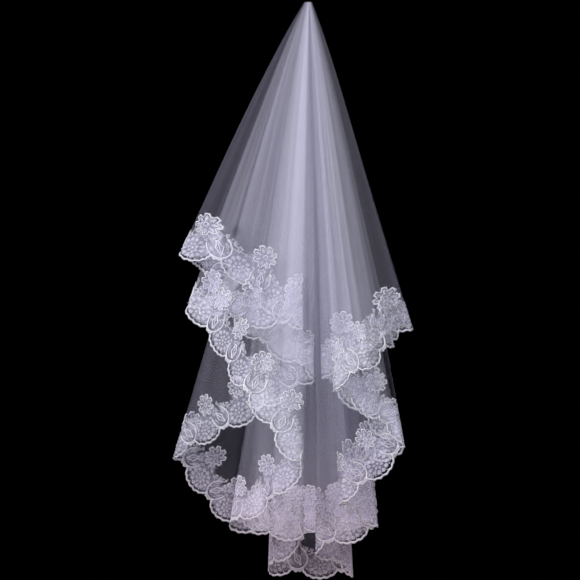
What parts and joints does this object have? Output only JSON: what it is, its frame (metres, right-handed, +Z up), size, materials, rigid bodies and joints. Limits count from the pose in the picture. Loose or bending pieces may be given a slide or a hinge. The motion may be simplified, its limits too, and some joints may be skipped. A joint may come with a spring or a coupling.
{
  "type": "bridal veil",
  "caption": "Sheer oval bridal veil hung from its middle in radiating folds, with a scalloped floral lace border all round.",
  "frame": {"origin": "the gathered tip that the veil hangs from, at the top of the cloth", "axes": "+Z up, front toward -Y, +X to the right in the pictured view"},
  "size_m": [0.4206, 0.4983, 1],
  "materials": {
    "net": "fine sheer net, cool white",
    "lace": "embroidered lace with a slight sheen"
  },
  "bodies": {
    "root": {"tulle_net": "net", "lace_border": "lace"}
  },
  "joints": []
}
